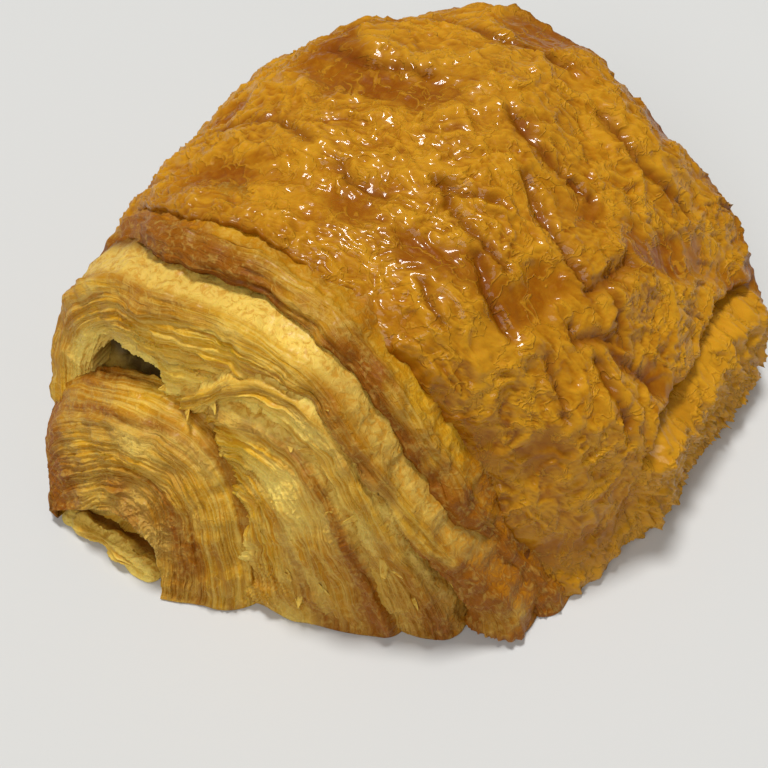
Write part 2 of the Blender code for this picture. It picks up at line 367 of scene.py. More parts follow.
def make_crumb(voxel, depth):
    """The airy dough under the crust and between the turns, from the frame's own roll."""
    piece = cad_copy(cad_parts["pastry"], "crumb")
    places = vertex_places(piece) * (1 - depth * INSET_SHARES / MM)
    pinched = smoothstep(0, 22, places[:, 0]) * smoothstep(30, 8, depth_inside(places, True))
    places[:, 0] -= PINCH * pinched
    move_vertices(piece, places)
    cut_mouth(piece)
    apply_modifier(piece, "REMESH", mode="VOXEL", voxel_size=voxel)
    apply_modifier(piece, "SMOOTH", factor=0.5, iterations=6)
    places, normals = vertex_places(piece), vertex_normals(piece)
    webs = ridged_noise(places * (0.28, 0.5, 0.42), 11, octaves=3, gain=0.55)
    holes = smoothstep(0.25, 0.6, layered_noise(places * 0.3, 15, octaves=2))
    relief = (0.8 * webs - 1.1 * holes) * smoothstep(0.5, 3.5, places[:, 2])
    # Painted shade deep inside the tunnel, away from the cut ends.
    inside = np.minimum(smoothstep(0.5, 4.5, depth_inside(places, True)),
                        smoothstep(0.5, 4.5, depth_inside(places, False)))
    across = np.abs(places[:, 0] + CENTRE[0] - TUNNEL_MIDDLE)
    dark = inside * smoothstep(3, 7, places[:, 2]) * smoothstep(TUNNEL_REACH + 2, TUNNEL_REACH - 2, across)
    places = places + normals * relief[:, None]
    places[:, 2] = np.maximum(places[:, 2], FLOOR_GAP)
    move_vertices(piece, places)
    # The pit mark is painted shade in the crumb's holes and deep inside the tunnel.
    store(piece, "pit_shade", np.maximum(holes, dark))
    return piece


# ---------------------------------------------------------------- the glazed crust

FOLD_DEPTH = 0.85
CRUST_ROUND, CRUST_LONG = 150.0, 72.0       # the crust's size round the roll and along it
CRUST_SETBACK = 6.0                         # how far its near edge lies behind the lip
CRUST_HIDDEN = 6.5                          # how deep its inner side lies, away from the edges


def crust_places(columns, rows):
    """The outer turn's smooth surface as columns round the roll by rows along it."""
    near, middle, far = (arch(points, columns) for points in (OUTER_NEAR, OUTER_MIDDLE, OUTER_FAR))
    share = np.linspace(0, 1, rows)
    swell = np.sin(0.5 * np.pi * np.minimum(np.minimum(share, 1 - share) / SWELL_SHARE, 1))
    start, end = end_surface(True, *near.T), end_surface(False, *far.T)
    blend = smoothstep(0.3, 0.7, share)[None, :, None]
    ends = near[:, None] * (1 - blend) + far[:, None] * blend
    across = ends + (middle[:, None] - ends) * swell[None, :, None]
    y = start[:, None] + (end - start)[:, None] * share
    return np.stack([across[..., 0], y, across[..., 1]], -1) - CENTRE, share


def surface_normals(places):
    """Unit normals of a grid of places, pointing out of the roll."""
    normals = np.cross(np.gradient(places, axis=0), np.gradient(places, axis=1))
    return normals / np.linalg.norm(normals, axis=-1)[..., None]


def fold_relief(places):
    """The long folds: how far each place stands out, and how near it is to a fold's bottom, which gets
    painted shade.
    """
    relief, crease = np.zeros(places.shape[:2]), np.zeros(places.shape[:2])
    for path, depth, width in FOLDS:
        reach = distance_to_path(places, path)
        crease = np.maximum(crease, np.exp(-(reach / width) ** 2))
        ridge = 0.2 * np.exp(-((reach - 2.2 * width) / width) ** 2)
        relief += FOLD_DEPTH * depth * (ridge - np.exp(-(reach / (0.8 * width)) ** 2))
    return relief, crease


def seam_relief(places, wrinkles, fine):
    """The outer sheet's end low on the right flank: relief, the groove that gets painted shade, and the skin
    under it.
    """
    height = read_table(SEAM, places[..., 1]) + 0.8 * gradient_noise(places * 0.3, 81)
    above = places[..., 2] - height
    there = (smoothstep(-15, -9, places[..., 1]) * smoothstep(30, 24, places[..., 1])
             * smoothstep(20, 30, places[..., 0]))
    groove = there * np.exp(-(above / 0.9) ** 2)
    relief = there * (0.9 * np.exp(-((above - 2.2) / 1.5) ** 2) + 2.6 * smoothstep(-0.5, -4.5, above))
    relief += there * smoothstep(-1, -4, above) * (0.45 * wrinkles + 0.2 * fine) - 2.2 * groove
    return relief, groove, there * smoothstep(0.5, -1.0, above)


def crust_relief(places):
    """How far each place of the crust stands out, and what its finish needs to know."""
    x, y, z = (places[..., axis] for axis in range(3))
    around = np.cumsum(np.linalg.norm(np.diff(places, axis=0, prepend=places[:1]), axis=-1), axis=0)
    warp = np.stack([layered_noise(places * 0.07, seed, 3, 0.6) for seed in (21, 24, 27)], -1)
    long_folds = ridged_noise(spots(around * 0.06, y * 0.15, z * 0.03) + warp * 0.8, 31, octaves=2, gain=0.5)
    bent = spots(around, y, z * 0.4) + warp * 4.5
    wrinkles = ridged_noise(bent * (0.16, 0.27, 0.2), 41, octaves=3, gain=0.6)
    fine = ridged_noise(bent * (0.34, 0.62, 0.5), 51, octaves=2, gain=0.7)
    swells = layered_noise(places * 0.055, 71, 2)
    calm = smoothstep(0.05, 0.65, layered_noise(places * 0.08, 61, 2))
    rough = (1 - 0.85 * calm * (1 - 0.6 * smoothstep(-12, -32, x))) * smoothstep(-1, 5, z)
    relief = (1.5 * swells + 0.6 * long_folds * (1 - 0.4 * calm) + rough * (0.34 * wrinkles + 0.2 * fine)
              - 0.5 * calm - 0.7)
    relief -= 1.8 * smoothstep(0, 40, y) * smoothstep(-5, 22, x) * smoothstep(16, 26, z)
    folds, crease = fold_relief(places)
    seam, groove, under = seam_relief(places, wrinkles, fine)
    low = smoothstep(13, 4, z) * smoothstep(12, 28, x)
    relief += folds + seam + low * smoothstep(0, 5, z) * (0.5 * wrinkles + 0.3 * fine - 0.2)
    # The crease mask carries painted shade for the folds and the seam's groove.
    return relief, {"calm": calm, "crest": np.clip(0.6 * wrinkles + 0.5 * fine, 0, 1),
                    "crease": np.maximum(crease, groove), "under": np.maximum(under, low)}


def make_crust(columns, rows, thickness):
    """The glazed outer sheet of the outer turn, with its edges turned in at both cut ends."""
    smooth, share = crust_places(columns, rows)
    normals = surface_normals(smooth)
    relief, facts = crust_relief(smooth)
    deepest = -1.9 - 1.2 * smoothstep(0.1, 0.35, share)
    relief = deepest + np.logaddexp(0, (relief - deepest) * 2.5) / 2.5
    outer = smooth + normals * relief[..., None]
    around = np.arange(columns) / columns * CRUST_ROUND
    wave = 1.1 * layered_noise(spots(around * 0.11, 0.0, 0.0), 91, 4, 0.55)
    setback = CRUST_SETBACK + 2.4 * smoothstep(54, 40, around) - 2.0 * smoothstep(118, 135, around)
    near_shift = (wave + setback)[:, None] * np.exp(-share * 6)
    outer[..., 1] += near_shift - wave[:, None] * np.exp(-(1 - share) * 9)
    rim_width = 2.2 / CRUST_LONG
    rounded = np.exp(-(share / rim_width) ** 2) + np.exp(-((1 - share) / rim_width) ** 2)
    outer -= normals * (0.5 * rounded)[..., None]

    back = [rows - 1, rows - 3, *np.linspace(rows - 9, 8, 12).astype(int), 2, 0]
    depth = np.full(len(back), thickness)
    depth[[0, -1]] *= 0.6
    inner = outer[:, back] - normals[:, back] * depth[None, :, None]
    inner[:, 2:-2] = (smooth - normals * CRUST_HIDDEN)[:, back[2:-2]]
    inner[:, 0, 1] += 0.15
    inner[:, -1, 1] -= 0.15
    loop = np.concatenate([outer, inner, outer[:, :1]], axis=1)
    loop[..., 2] = np.maximum(loop[..., 2], FLOOR_GAP)
    piece, at_column, at_row = grid_piece("glazed_crust", loop)
    source = np.concatenate([np.arange(rows), back, [0]])[at_row]
    facts["rim"] = np.broadcast_to(np.exp(-np.minimum(share, 1 - share) * 30), relief.shape)
    for name, values in facts.items():
        store(piece, name, values[at_column, source])
    close_up(piece)
    return piece


# ---------------------------------------------------------------- turns at the cut ends

# How far back a turn's outer surface is modelled, from the start of its rounded rim
BACK = np.array([10.0, 7.0, 5.2, 4.2, 3.4, 2.8, 2.3, 1.9, 1.5, 1.2, 0.9, 0.6, 0.3])
INNER_RETURN = 9.0                          # how far back a turn's inner side is modelled
LIP_INSET = {True: 1.0, False: 3.2}         # the lip under the crust, at the near and the far end
LIP_DEPTH = 5.0


@dataclass
class Turn:
    """One turn of dough: its outlines and looks; lengths are in millimetres."""
    outer: list
    inner: list
    step: float             # how far it stands out of the cut end
    rim: float              # radius of its rim, down its face
    recess: float           # how far its face falls back towards its inside
    wave: float             # how ragged its rim is
    sag: float              # how uneven its face is
    starts: float           # where its layers start, from the start of its rim
    airy: float             # how much of its face is crumb
    pale_inside: float      # crumb along its inside
    pale_top: float         # crumb on its outer surface
    brown: float            # browning along its rim
    toasted: float          # browning in streaks along its layers
    reach: float = 0.0      # radius of its rim, back along its top, where that isn't rim
    nose: int = 12          # points round its rim
    drop: float = 0.0       # slope of its top behind the rim
    corner: float = 0.0     # radius of its free end
    sink: float = 0.0       # how far its start lies back
    shy: float = 0.0        # how far its left part lies back
    tip: float = 0.0        # browning of its start
    baked: tuple = (0.0, 0.0)           # browning halfway along it and at its end; towards the end it is partly painted shade on the lower parts
    under: float = 0.0      # browning along its inside; on the lip it is painted shade in the groove under it
    behind: tuple = (0.0, 0.0, -1.0)    # painted shade behind its rim: how dark, from where, to where
    pit_shade: float = 0.0        # painted shade along its inside


TURNS = {
    "lip": Turn([], [], step=-1.6, rim=2.2, recess=6.0, wave=0.8, sag=0.5, starts=-1.0, airy=-0.6,
                pale_inside=0.0, pale_top=0.0, brown=1.2, toasted=0.6, shy=3.0, baked=(0.7, 0.9),
                under=2.2, pit_shade=0.9),
    "second_turn": Turn(SECOND, SECOND_INSIDE, step=3.6, rim=2.6, recess=3.0, wave=0.5, sag=0.9, starts=1.2,
                        airy=-0.3, pale_inside=0.9, pale_top=0.8, brown=0.6, toasted=0.5, reach=3.4,
                        baked=(0.0, 1.3), behind=(0.95, -1.8, -4.2)),
    "third_turn": Turn(THIRD, THIRD_INSIDE, step=4.4, rim=1.8, recess=1.4, wave=0.8, sag=1.2, starts=0.8,
                       airy=-0.1, pale_inside=0.4, pale_top=1.0, brown=0.5, toasted=0.6, sink=5.0,
                       baked=(-0.15, 0.9), behind=(0.7, -2.0, -4.5)),
    "fourth_turn": Turn(FOURTH, FOURTH_INSIDE, step=5.2, rim=1.8, recess=1.4, wave=0.8, sag=1.2, starts=0.8,
                        airy=-0.05, pale_inside=0.0, pale_top=0.9, brown=0.5, toasted=0.6, sink=5.0,
                        baked=(-0.15, 0.9), behind=(0.7, -2.0, -4.5)),
    "tongue": Turn(TONGUE, TONGUE_INSIDE, step=6.6, rim=6.0, recess=-1.8, wave=0.4, sag=0.8, starts=-0.5,
                   airy=-0.15, pale_inside=0.25, pale_top=0.1, brown=0.4, toasted=0.7, reach=7.0, nose=30,
                   drop=1.7, corner=3.0, tip=2.0, baked=(0.15, 0.1), under=0.9),
    "base_fold": Turn(BASE_FOLD, BASE_FOLD_INSIDE, step=6.8, rim=1.6, recess=0.6, wave=0.4, sag=0.3,
                      starts=0.5, airy=0.5, pale_inside=0.3, pale_top=0.9, brown=0.1, toasted=0.1,
                      drop=0.9, behind=(1.0, 0.3, -1.6)),
}


def turn_edge(outer, inner, corner):
    """A turn's outlines, its rim line in plan (x, distance back), the way in from it, its length.

    With a corner, the rim first comes forward along the turn's free end and rounds into its face.
    """
    length = steps_along(outer)
    inward = np.tile((0.0, 1.0), (len(outer), 1))
    edge = spots(outer[:, 0], 0.0)
    if not corner:
        return outer, inner, edge, inward, length
    front = length >= corner
    turn = np.linspace(0, 0.5 * np.pi, 18)[:-1]
    back = np.linspace(INNER_RETURN, 0, 24)[:-1]
    places = np.concatenate([0 * back, turn / (0.5 * np.pi) * corner])
    lead_outer, lead_inner = (np.stack([np.interp(places, length, line[:, axis]) for axis in (0, 1)], 1)
                              for line in (outer, inner))
    around = np.concatenate([np.tile((1.0, 0.0), (len(back), 1)), spots(np.cos(turn), np.sin(turn))])
    rim = np.array((outer[0, 0] + corner, corner)) - corner * around
    rim[:len(back), 1] += back
    lead_inner[:, 0] += rim[:, 0] - lead_outer[:, 0]
    lead_outer[:, 0] = rim[:, 0]
    lead_length = steps_along(rim)
    length = np.concatenate([lead_length, lead_length[-1] + 0.3 + length[front] - corner])
    return (np.concatenate([lead_outer, outer[front]]), np.concatenate([lead_inner, inner[front]]),
            np.concatenate([rim, edge[front]]), np.concatenate([around, inward[front]]), length)


def make_turn(name, turn, outer, inner, near, seed, rows):
    """One turn of dough at a cut end: its outer surface, rounded rim and laminated face."""
    outer, inner, edge, inward, length = turn_edge(outer, inner, turn.corner)
    side = 1 if near else -1
    lane = length[:, None]

    # The profile: depth down the face, and distance back from the rim
    reach = turn.reach or turn.rim
    nose = np.linspace(0, 0.5 * np.pi, turn.nose)[:-1]
    wide = np.hypot(*(inner - outer).T)[:, None]
    on_face = np.concatenate([np.zeros(len(BACK) + len(nose)), np.linspace(0, 1, rows) ** 0.92])[None, :]
    depth = np.concatenate([0 * BACK, turn.rim * (1 - np.cos(nose)), np.full(rows, turn.rim)])[None, :]
    depth = depth + on_face * (wide + 0.8 - turn.rim)
    back = np.concatenate([reach + BACK, reach * (1 - np.sin(nose)), np.zeros(rows)])[None, :]
    fall = turn.drop * np.maximum(0, back - reach)
    step = np.hypot(*(np.diff(line, axis=1, prepend=line[:, :1]) for line in (depth, back)))
    travel = np.cumsum(step, axis=1) - BACK[0]

    # Its places
    ragged = layered_noise(spots(length * 0.07, seed, 0.0), seed, 4, 0.55)[:, None]
    sag = layered_noise(spots(lane * 0.05, depth * 0.12, seed), seed + 9, 2)
    back = back + turn.recess * on_face ** 1.7 + turn.wave * ragged + turn.sag * sag * on_face
    back = back + turn.sink * np.exp(-(lane / 10.0) ** 2) + turn.shy * smoothstep(54, 40, lane)
    share = np.clip(depth / wide, 0, 1.3)
    flat = outer[:, None] * (1 - share[..., None]) + inner[:, None] * share[..., None]
    behind = edge[:, 1:] + inward[:, 1:] * back - turn.step
    places = spots(flat[..., 0] + inward[:, :1] * back,
                end_surface(near, flat[..., 0], flat[..., 1]) + side * behind, flat[..., 1] - fall) - CENTRE
    normals = side * np.cross(np.gradient(places, axis=1), np.gradient(places, axis=0))
    normals /= np.linalg.norm(normals, axis=-1)[..., None] + 1e-9

    # Its layers, crumb and browning
    tilt = spots(lane * 0.045, depth * 0.2, seed * 1.3)
    layers = travel + 0.9 * layered_noise(tilt, seed + 20, 2) + 0.18 * layered_noise(tilt * 4.5, seed + 25, 2)
    plane = seed * 0.77
    coarse = ridged_noise(spots(lane * 0.020, layers * 0.55, plane), seed + 31, 2, 0.6)
    lines = ridged_noise(spots(lane * 0.025, layers * 1.15, plane), seed + 41, 2, 0.8)
    webs = ridged_noise(places * (0.5, 0.5, 0.7), seed + 51, 3, 0.6)
    lumps = layered_noise(places * 0.22, seed + 61, 2)
    patchy = layered_noise(spots(lane * 0.06, depth * 0.16, plane), seed + 71, 2) + turn.airy
    toasted = layered_noise(spots(lane * 0.025, layers * 0.3, plane), seed + 81, 3, 0.6)
    starts = turn.starts + 0.5 * ragged
    cut = smoothstep(starts, starts + 1.4, travel)
    crumb = np.clip(smoothstep(0.0, 0.7, patchy) * cut + smoothstep(0.42, 0.85, share) * turn.pale_inside
                    + (1 - cut) * turn.pale_top, 0, 1)
    # Brown is browning, and also painted shade where baked darkens the low ends of the turns and under
    # darkens the groove under the lip.
    brown = (turn.brown * np.exp(-((depth - 0.9 * turn.rim) / (1.1 * turn.rim)) ** 2)
             + turn.tip * np.exp(-np.maximum(lane - 14, 0) / 5.0)
             + np.interp(lane / lane[-1], (0.5, 1.0), turn.baked)
             + turn.toasted * smoothstep(-0.1, 0.6, toasted) * cut
             + turn.under * smoothstep(0.45, 0.8, share))
    # Painted shade behind the rim and along the inside, laid on in the gap shade colour.
    dark, dark_from, dark_to = turn.behind
    shade = dark * smoothstep(dark_from, dark_to, travel) + turn.pit_shade * smoothstep(0.34, 0.7, share)

    relief = (cut * (1 - 0.6 * crumb) * (0.38 * coarse + 0.42 * lines) + (1 - cut) * 0.16 * webs
              + crumb * cut * (0.34 * webs - 0.1) + 0.7 * lumps - 0.3)
    relief = relief * smoothstep(0.1, 1.2, places[..., 2])
    if turn.corner:
        relief = relief * (0.15 + 0.85 * smoothstep(9, 28, lane))
    places = places + normals * relief[..., None]
    end = places[:, -1:] + spots(inward[:, 0], side * inward[:, 1], 0.0)[:, None] * INNER_RETURN
    loop = np.concatenate([places, end, places[:, :1]], axis=1)
    loop[..., 2] = np.maximum(loop[..., 2], FLOOR_GAP)
    piece, at_column, at_row = grid_piece(name, loop)
    source = np.concatenate([np.arange(places.shape[1]), [places.shape[1] - 1, 0]])[at_row]
    facts = {"shade": np.clip(shade, 0, 1), "depth": layers, "along": np.broadcast_to(lane, layers.shape),
             "layer": 0.6 * coarse + 0.4 * lines, "crumb": crumb, "cut": cut, "brown": brown}
    for key, values in facts.items():
        store(piece, key, values[at_column, source])
    close_up(piece)
    return piece


def make_turns(name, columns, rows):
    """One turn of dough at both cut ends, with fewer points at the far one."""
    turn = TURNS[name]
    pieces = []
    for number, near in enumerate((True, False)):
        if not near:
            columns, rows = int(columns * 0.75), rows // 2
        if name == "lip":
            outer = arch(OUTER_NEAR if near else OUTER_FAR, columns)
            outer = outer - outward(outer) * LIP_INSET[near]
            inner = outer - outward(outer) * LIP_DEPTH
        else:
            outer, inner = arch(turn.outer, columns), arch(turn.inner, columns)
            if not near:
                outer, inner = at_far_end(outer), at_far_end(inner)
        seed = 100 + 10 * len(name) + 5 * number
        pieces.append(make_turn(f"{name}_{number}", turn, outer, inner, near, seed, rows))
    return join(name, pieces)


# ---------------------------------------------------------------- loose flakes

# The turns that have flakes on their cut faces, and how many each has
FLAKY = {"third_turn": 14, "fourth_turn": 16, "tongue": 12, "second_turn": 6}
FLAKE_SIZES = ((1.6, 0.7, 0.15), (3.2, 1.4, 0.6))   # least and most length, width and curl
FLAKE_FACTS = {"cut": 0.0, "crumb": 0.55, "brown": 0.1, "shade": 0.0, "depth": 0.0, "along": 0.0,
               "layer": 0.5}


def make_flake(name, root, out, along, size, wave):
    """One thin curled flake: a flattened tube that lifts off the dough at its free end."""
    length, width, curl = size
    across = np.cross(out, along)
    u = np.linspace(0, 1, 12)[:, None]
    v = np.concatenate([np.linspace(-1, 1, 7), np.linspace(1, -1, 7), [-1.0]])[None, :]
    side = np.concatenate([np.full(7, 0.09), np.full(7, -0.09), [0.09]])[None, :]
    side = side * np.sqrt(np.clip(1.02 - v ** 2, 0, 1))
    lift = -0.35 + (curl + 0.35) * u ** 1.5 + 0.3 * curl * u * v ** 2 + side
    spread = 0.5 * width * v * (1 - 0.5 * u ** 2) + wave * np.sin(3.0 * u + v)
    places = (root + along * (length * u * (1 - 0.18 * u))[..., None] + across * spread[..., None]
              + out * lift[..., None])
    piece, _, _ = grid_piece(name, places)
    for key, value in FLAKE_FACTS.items():
        store(piece, key, np.full(len(piece.data.vertices), value))
    close_up(piece)
    return piece


def make_flakes(seed):
    """Small curled flakes standing off the near cut faces."""
    random = np.random.default_rng(seed)
    flakes = []
    for host_name, count in FLAKY.items():
        host = bpy.data.objects[host_name]
        places, normals = vertex_places(host), vertex_normals(host)
        own = places + CENTRE
        exposed = np.flatnonzero((normals[:, 1] < -0.45) & (normals[:, 2] > 0.15) & (own[:, 1] < 6)
                                 & (own[:, 0] > -20) & (own[:, 2] > 5))
        for root in random.choice(exposed, count):
            out = normals[root]
            along = np.cross(out, random.normal(size=3))
            along /= np.linalg.norm(along)
            size = random.uniform(*FLAKE_SIZES)
            flakes.append(make_flake(f"flake_{len(flakes)}", places[root], out, along, size,
                                     random.uniform(0.05, 0.3)))
    return join("loose_flakes", flakes)


# ---------------------------------------------------------------- materials

def new_material(name):
    """A new material, its node tree and its shader."""
    finish = bpy.data.materials.new(name)
    finish.use_nodes = True
    tree = finish.node_tree
    return finish, tree, tree.nodes["Principled BSDF"]


def connect(tree, made, inputs):
    """Set a node's inputs, which are values or output sockets by socket name or index."""
    for key, value in inputs.items():
        if isinstance(value, bpy.types.NodeSocket):
            tree.links.new(value, made.inputs[key])
        else:
            made.inputs[key].default_value = value


def node(tree, kind, inputs=None, **settings):
    """Add a node with its inputs and settings."""
    made = tree.nodes.new(kind)
    for key, value in settings.items():
        setattr(made, key, value)
    connect(tree, made, inputs or {})
    return made


def attribute(tree, name):
    return node(tree, "ShaderNodeAttribute", attribute_name=name).outputs["Fac"]


def mix(tree, factor, a, b):
    """Mix two colours, given as sockets or as (r, g, b)."""
    a, b = (value if isinstance(value, bpy.types.NodeSocket) else (*value, 1.0) for value in (a, b))
    return node(tree, "ShaderNodeMix", {0: factor, 6: a, 7: b}, data_type="RGBA").outputs[2]


def coat(tree, base, *coats):
    """Lay colours over a base one after another, each given as (mask, strength, colour)."""
    for mask, strength, colour in coats:
        base = mix(tree, calculate(tree, "MULTIPLY", mask, strength), base, colour)
    return base


def calculate(tree, operation, a, b=0.0, clamp=False):
    made = node(tree, "ShaderNodeMath", {0: a, 1: b}, operation=operation, use_clamp=clamp)
    return made.outputs[0]


def ramp(tree, value, low, high):
    """Value remapped from low..high to 0..1, smoothly."""
    made = node(tree, "ShaderNodeMapRange", {"Value": value, "From Min": low, "From Max": high},
                interpolation_type="SMOOTHSTEP")
    return made.outputs["Result"]


def noise_texture(tree, places, scale, detail=3.0, roughness=0.55, distortion=0.0):
    made = node(tree, "ShaderNodeTexNoise", {"Vector": places, "Scale": scale, "Detail": detail,
                                             "Roughness": roughness, "Distortion": distortion})
    return made.outputs["Fac"]


def bump(tree, height, strength, distance):
    """Normals bent by a height."""
    inputs = {"Height": height, "Strength": strength, "Distance": distance}
    return node(tree, "ShaderNodeBump", inputs).outputs["Normal"]


def crease_group():
    """Fine creases and blisters of baked skin, as a height and a mask of crests."""
    group = bpy.data.node_groups.new("baked_creases", "ShaderNodeTree")
    face = group.interface
    face.new_socket("Scale", in_out="INPUT", socket_type="NodeSocketFloat")
    face.new_socket("Height", in_out="OUTPUT", socket_type="NodeSocketFloat")
    face.new_socket("Crests", in_out="OUTPUT", socket_type="NodeSocketFloat")
    entry = group.nodes.new("NodeGroupInput")
    leave = group.nodes.new("NodeGroupOutput")
    places = node(group, "ShaderNodeTexCoord").outputs["Object"]
    warp = node(group, "ShaderNodeTexNoise", {"Vector": places, "Scale": 260.0, "Detail": 2.0})
    bent = node(group, "ShaderNodeVectorMath", {0: warp.outputs["Color"], 1: (0.0045, 0.0045, 0.0045)},
                operation="MULTIPLY").outputs[0]
    bent = node(group, "ShaderNodeVectorMath", {0: bent, 1: places}, operation="ADD").outputs[0]
    veins = node(group, "ShaderNodeTexNoise", {"Vector": bent, "Scale": entry.outputs["Scale"], "Detail": 3.0,
                                               "Roughness": 0.55, "Distortion": 0.6}).outputs["Fac"]
    veins = calculate(group, "ABSOLUTE", calculate(group, "SUBTRACT", veins, 0.5))
    crests = ramp(group, veins, 0.035, 0.0)
    fine = node(group, "ShaderNodeTexNoise", {"Vector": bent, "Scale": 1500.0, "Detail": 3.0}).outputs["Fac"]
    height = calculate(group, "ADD", crests, calculate(group, "MULTIPLY", fine, 0.35))
    group.links.new(height, leave.inputs["Height"])
    group.links.new(crests, leave.inputs["Crests"])
    return group


def glaze_material(colours):
    """Egg-washed crust: translucent amber, darker where the glaze pools, paler on the crests, with painted
    shade in the creases and darker cut rims.
    """
    finish, tree, shader = new_material("glazed_crust")
    deep, amber, pale, crease_shade_and_rim = colours
    places = node(tree, "ShaderNodeTexCoord").outputs["Object"]
    creases = node(tree, "ShaderNodeGroup", {"Scale": 210.0}, node_tree=bpy.data.node_groups["baked_creases"])
    calm, crest, crease = (attribute(tree, name) for name in ("calm", "crest", "crease"))
    patches = ramp(tree, noise_texture(tree, places, 70.0, 3.0), 0.38, 0.66)
    flecks = ramp(tree, noise_texture(tree, places, 900.0, 2.0), 0.45, 0.7)
    thin = ramp(tree, noise_texture(tree, places, 110.0, 4.0, 0.6, 0.6), 0.5, 0.68)
    light = calculate(tree, "MULTIPLY", crest, calculate(tree, "SUBTRACT", 1.0, calm), clamp=True)
    # The crease mask lays painted shade in the creases and the seam's groove; the rim mask darkens the cut
    # rims.
    base = coat(tree, mix(tree, patches, amber, deep), (thin, 0.45, pale), (calm, 0.55, deep),
                (light, 0.85, pale), (creases.outputs["Crests"], 0.45, pale), (flecks, 0.16, pale),
                (crease, 0.75, crease_shade_and_rim), (attribute(tree, "under"), 0.6, pale),
                (attribute(tree, "rim"), 0.45, crease_shade_and_rim))
    rough = ramp(tree, noise_texture(tree, places, 160.0, 2.0), 0.25, 0.8)
    rough = calculate(tree, "MULTIPLY", rough, 0.22)
    connect(tree, shader, {"Base Color": base, "Roughness": calculate(tree, "ADD", rough, 0.27),
                           "Normal": bump(tree, creases.outputs["Height"], 0.55, 0.00035),
                           "Specular IOR Level": 0.06, "Coat Weight": 0.28, "Coat Roughness": 0.09,
                           "Subsurface Weight": 0.12, "Subsurface Radius": (1.0, 0.45, 0.12),
                           "Subsurface Scale": 0.0015})
    return finish


def lamination_group():
    """Thin layers of baked dough seen edge on, as a height, from the stored depth and length."""
    group = bpy.data.node_groups.new("lamination", "ShaderNodeTree")
    face = group.interface
    face.new_socket("Fine", in_out="OUTPUT", socket_type="NodeSocketFloat")
    face.new_socket("Broad", in_out="OUTPUT", socket_type="NodeSocketFloat")
    leave = group.nodes.new("NodeGroupOutput")
    depth, along = attribute(group, "depth"), attribute(group, "along")
    for socket, across, run in (("Fine", 2.6, 0.10), ("Broad", 0.9, 0.04)):
        place = node(group, "ShaderNodeCombineXYZ", {0: calculate(group, "MULTIPLY", along, run),
                                                     1: calculate(group, "MULTIPLY", depth, across)})
        group.links.new(noise_texture(group, place.outputs[0], 1.0, 3.0, 0.6, 0.25), leave.inputs[socket])
    return group


def dough_material(colours):
    """Baked dough at the cut ends: cream crumb, golden layers, browner rims, and painted shade behind the
    rims and along the insides.
    """
    finish, tree, shader = new_material("layered_dough")
    cream, golden, amber, brown, gap = colours
    places = node(tree, "ShaderNodeTexCoord").outputs["Object"]
    layers = node(tree, "ShaderNodeGroup", node_tree=bpy.data.node_groups["lamination"])
    fine, broad = layers.outputs["Fine"], layers.outputs["Broad"]
    cut, crumb, browning_and_shade, layer = (attribute(tree, name) for name in ("cut", "crumb", "brown", "layer"))
    patches = noise_texture(tree, places, 55.0, 3.0)
    groove = calculate(tree, "MULTIPLY", ramp(tree, layer, 0.5, 0.1), cut)
    pale_lines = calculate(tree, "MULTIPLY", ramp(tree, fine, 0.42, 0.62), cut)
    dark_lines = calculate(tree, "MULTIPLY", ramp(tree, broad, 0.5, 0.36), cut)
    # Browning, partly painted shade, laid on in patches.
    browning_and_shade = calculate(tree, "MULTIPLY", browning_and_shade, ramp(tree, patches, 0.2, 0.6))
    grain = noise_texture(tree, places, 950.0, 3.0, 0.6, 0.8)
    skin = calculate(tree, "MULTIPLY", ramp(tree, grain, 0.52, 0.36), calculate(tree, "SUBTRACT", 1.0, cut))
    # The shade attribute lays painted shade between the turns; the browning mask carries some painted shade
    # too.
    base = coat(tree, mix(tree, ramp(tree, patches, 0.42, 0.75), golden, amber), (groove, 0.55, amber),
                (pale_lines, 0.5, cream), (dark_lines, 0.32, brown), (crumb, 0.8, cream),
                (browning_and_shade, 0.8, brown), (ramp(tree, grain, 0.45, 0.72), 0.22, cream), (skin, 0.6, amber),
                (attribute(tree, "shade"), 0.9, gap))
    firm = calculate(tree, "SUBTRACT", 1.0, calculate(tree, "MULTIPLY", crumb, 0.45))
    layered = calculate(tree, "MULTIPLY", calculate(tree, "MULTIPLY", fine, cut), firm)
    height = calculate(tree, "ADD", layered, calculate(tree, "MULTIPLY", grain, 0.8))
    connect(tree, shader, {"Base Color": base, "Roughness": 0.5, "Normal": bump(tree, height, 0.9, 0.00045),
                           "Specular IOR Level": 0.12, "Coat Weight": 0.10, "Coat Roughness": 0.25,
                           "Subsurface Weight": 0.15, "Subsurface Radius": (1.0, 0.55, 0.2),
                           "Subsurface Scale": 0.0012})
    return finish


def crumb_material(colours):
    """The airy inside: cream webs round hollows darkened with painted shade, and painted shade deep in the
    tunnel.
    """
    finish, tree, shader = new_material("crumb")
    cream, golden, hollow = colours
    places = node(tree, "ShaderNodeTexCoord").outputs["Object"]
    patches = ramp(tree, noise_texture(tree, places, 90.0, 3.0), 0.35, 0.7)
    webs = noise_texture(tree, places, 700.0, 4.0, 0.65, 0.5)
    # Painted shade in the holes and the tunnel, from the pit mark.
    base = coat(tree, mix(tree, patches, cream, golden), (attribute(tree, "pit_shade"), 0.95, hollow),
                (ramp(tree, webs, 0.4, 0.75), 0.12, cream))
    connect(tree, shader, {"Base Color": base, "Roughness": 0.62, "Normal": bump(tree, webs, 0.6, 0.0005),
                           "Subsurface Weight": 0.25, "Subsurface Radius": (1.0, 0.6, 0.25),
                           "Subsurface Scale": 0.002})
    return finish


